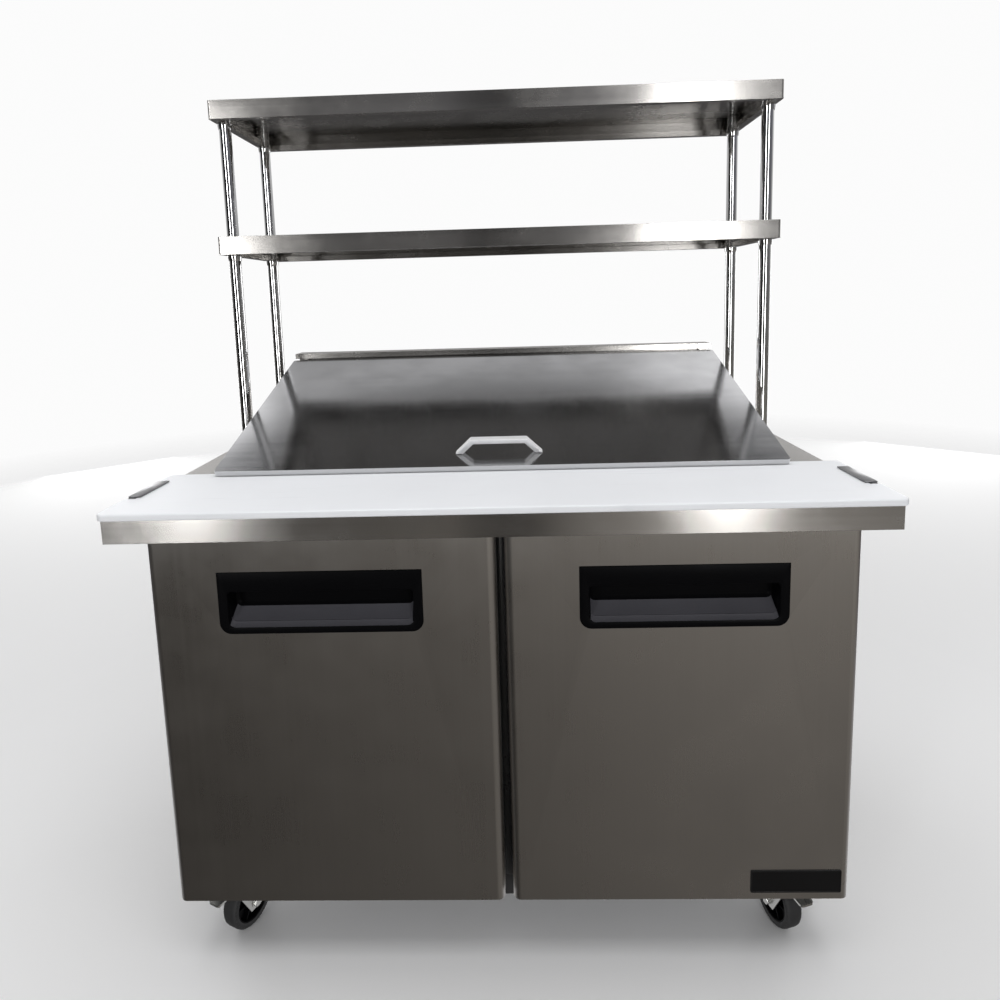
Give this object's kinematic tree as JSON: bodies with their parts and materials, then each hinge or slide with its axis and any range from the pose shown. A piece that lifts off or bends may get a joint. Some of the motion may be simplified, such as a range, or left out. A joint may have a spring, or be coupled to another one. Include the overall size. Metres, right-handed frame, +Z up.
{
  "type": "sandwich prep table",
  "caption": "Stainless refrigerated sandwich prep table with recessed-handle doors, cutting board, hinged lid over a pan well, tube-mounted overshelves and casters.",
  "frame": {"origin": "middle of the bounding box's footprint, at the floor under the wheels", "axes": "+Z up, -Y towards the person who works at the table, +X to that person's right"},
  "size_m": [1.232, 0.864, 1.647],
  "materials": {
    "stainless": "satin",
    "polished_tube": "polished",
    "cast_handle": "satin",
    "cutting_board": "satin",
    "handle_plastic": "satin",
    "gasket": "matte",
    "liner": "satin",
    "foam": "matte",
    "pan_steel": "satin",
    "galvanised": "satin",
    "coated_wire": "gloss",
    "black_enamel": "satin",
    "fin_aluminium": "satin",
    "white_plastic": "satin",
    "plate_black": "satin",
    "zinc": "satin",
    "tread": "matte"
  },
  "bodies": {
    "table": {"base_frame": "galvanised", "outer_wrap": "stainless", "back_panel": "stainless", "rear_grille": "galvanised", "power_inlet": "handle_plastic", "cabinet_insulation": "foam", "inner_liner": "liner", "face_frame": "stainless", "wire_shelf_left": "coated_wire", "wire_shelf_right": "coated_wire", "worktop": "stainless", "cutting_board": "cutting_board", "board_retainer_left": "stainless", "board_retainer_right": "stainless", "pan_rack": "stainless", "pan_row_front": "pan_steel", "pan_row_middle": "pan_steel", "pan_row_rear": "pan_steel", "hood_frame": "stainless", "lid_hinge_rod": "zinc", "overshelf_upper": "stainless", "overshelf_lower": "stainless", "post_front_left": "polished_tube", "post_front_right": "polished_tube", "post_rear_left": "polished_tube", "post_rear_right": "polished_tube", "compressor": "black_enamel", "condenser_coil": "fin_aluminium", "condenser_shroud": "handle_plastic", "evaporator_housing": "white_plastic", "evaporator_coil": "fin_aluminium", "left_door_hinge_top": "zinc", "left_door_hinge_bottom": "zinc", "right_door_hinge_top": "zinc", "right_door_hinge_bottom": "zinc"},
    "left_door": {"left_door_skin": "stainless", "left_door_liner": "liner", "left_door_gasket": "gasket", "left_door_handle": "handle_plastic"},
    "right_door": {"right_door_skin": "stainless", "right_door_liner": "liner", "right_door_gasket": "gasket", "right_door_handle": "handle_plastic", "nameplate": "plate_black"},
    "lid": {"lid_panel": "stainless", "lid_liner": "white_plastic", "lid_handle": "cast_handle"},
    "condenser_rotor": {"condenser_fan": "galvanised"},
    "evaporator_rotor": {"evaporator_fan": "handle_plastic"},
    "thermostat": {"thermostat_knob": "handle_plastic"},
    "front_left_caster": {"caster_front_left_fork": "zinc"},
    "front_left_wheel": {"caster_front_left_wheel": "tread"},
    "front_left_brake": {"caster_front_left_brake": "zinc"},
    "front_right_caster": {"caster_front_right_fork": "zinc"},
    "front_right_wheel": {"caster_front_right_wheel": "tread"},
    "front_right_brake": {"caster_front_right_brake": "zinc"},
    "rear_left_caster": {"caster_rear_left_fork": "zinc"},
    "rear_left_wheel": {"caster_rear_left_wheel": "tread"},
    "rear_right_caster": {"caster_rear_right_fork": "zinc"},
    "rear_right_wheel": {"caster_rear_right_wheel": "tread"}
  },
  "joints": [
    {"name": "left_door_hinge", "type": "hinge", "parent": "table", "child": "left_door", "pos_m": [-0.59, -0.29, 0.489], "axis": [0, 0, -1], "range_deg": [0, 110]},
    {"name": "right_door_hinge", "type": "hinge", "parent": "table", "child": "right_door", "pos_m": [0.59, -0.29, 0.489], "axis": [0, 0, 1], "range_deg": [0, 110]},
    {"name": "lid_hinge", "type": "hinge", "parent": "table", "child": "lid", "pos_m": [0, 0.30096, 1.06035], "axis": [-1, 0, 0], "range_deg": [0, 60]},
    {"name": "condenser_fan_spin", "type": "hinge", "parent": "table", "child": "condenser_rotor", "pos_m": [-0.31, 0.3165, 0.265], "axis": [0, 1, 0], "continuous": true},
    {"name": "evaporator_fan_spin", "type": "hinge", "parent": "table", "child": "evaporator_rotor", "pos_m": [0, 0.295, 0.655], "axis": [0, 1, 0], "continuous": true},
    {"name": "thermostat_turn", "type": "hinge", "parent": "table", "child": "thermostat", "pos_m": [0.22, 0.2697, 0.6], "axis": [0, -1, 0], "range_deg": [0, 270]},
    {"name": "front_left_swivel", "type": "hinge", "parent": "table", "child": "front_left_caster", "pos_m": [-0.508, -0.18, 0.12], "axis": [0, 0, 1], "continuous": true},
    {"name": "front_left_axle", "type": "hinge", "parent": "front_left_caster", "child": "front_left_wheel", "pos_m": [-0.52346, -0.21471, 0.051], "axis": [0.9135, -0.4067, 0], "continuous": true},
    {"name": "front_left_brake_pedal", "type": "hinge", "parent": "front_left_caster", "child": "front_left_brake", "pos_m": [-0.5381, -0.2476, 0.1035], "axis": [0.9135, -0.4067, 0], "range_deg": [0, 18]},
    {"name": "front_right_swivel", "type": "hinge", "parent": "table", "child": "front_right_caster", "pos_m": [0.508, -0.18, 0.12], "axis": [0, 0, 1], "continuous": true},
    {"name": "front_right_axle", "type": "hinge", "parent": "front_right_caster", "child": "front_right_wheel", "pos_m": [0.51911, -0.21634, 0.051], "axis": [0.9563, 0.2924, 0], "continuous": true},
    {"name": "front_right_brake_pedal", "type": "hinge", "parent": "front_right_caster", "child": "front_right_brake", "pos_m": [0.52964, -0.25077, 0.1035], "axis": [0.9563, 0.2924, 0], "range_deg": [0, 18]},
    {"name": "rear_left_swivel", "type": "hinge", "parent": "table", "child": "rear_left_caster", "pos_m": [-0.508, 0.33, 0.12], "axis": [0, 0, 1], "continuous": true},
    {"name": "rear_left_axle", "type": "hinge", "parent": "rear_left_caster", "child": "rear_left_wheel", "pos_m": [-0.527, 0.36291, 0.051], "axis": [-0.866, -0.5, 0], "continuous": true},
    {"name": "rear_right_swivel", "type": "hinge", "parent": "table", "child": "rear_right_caster", "pos_m": [0.508, 0.33, 0.12], "axis": [0, 0, 1], "continuous": true},
    {"name": "rear_right_axle", "type": "hinge", "parent": "rear_right_caster", "child": "rear_right_wheel", "pos_m": [0.51719, 0.36687, 0.051], "axis": [-0.9703, 0.2419, 0], "continuous": true}
  ]
}
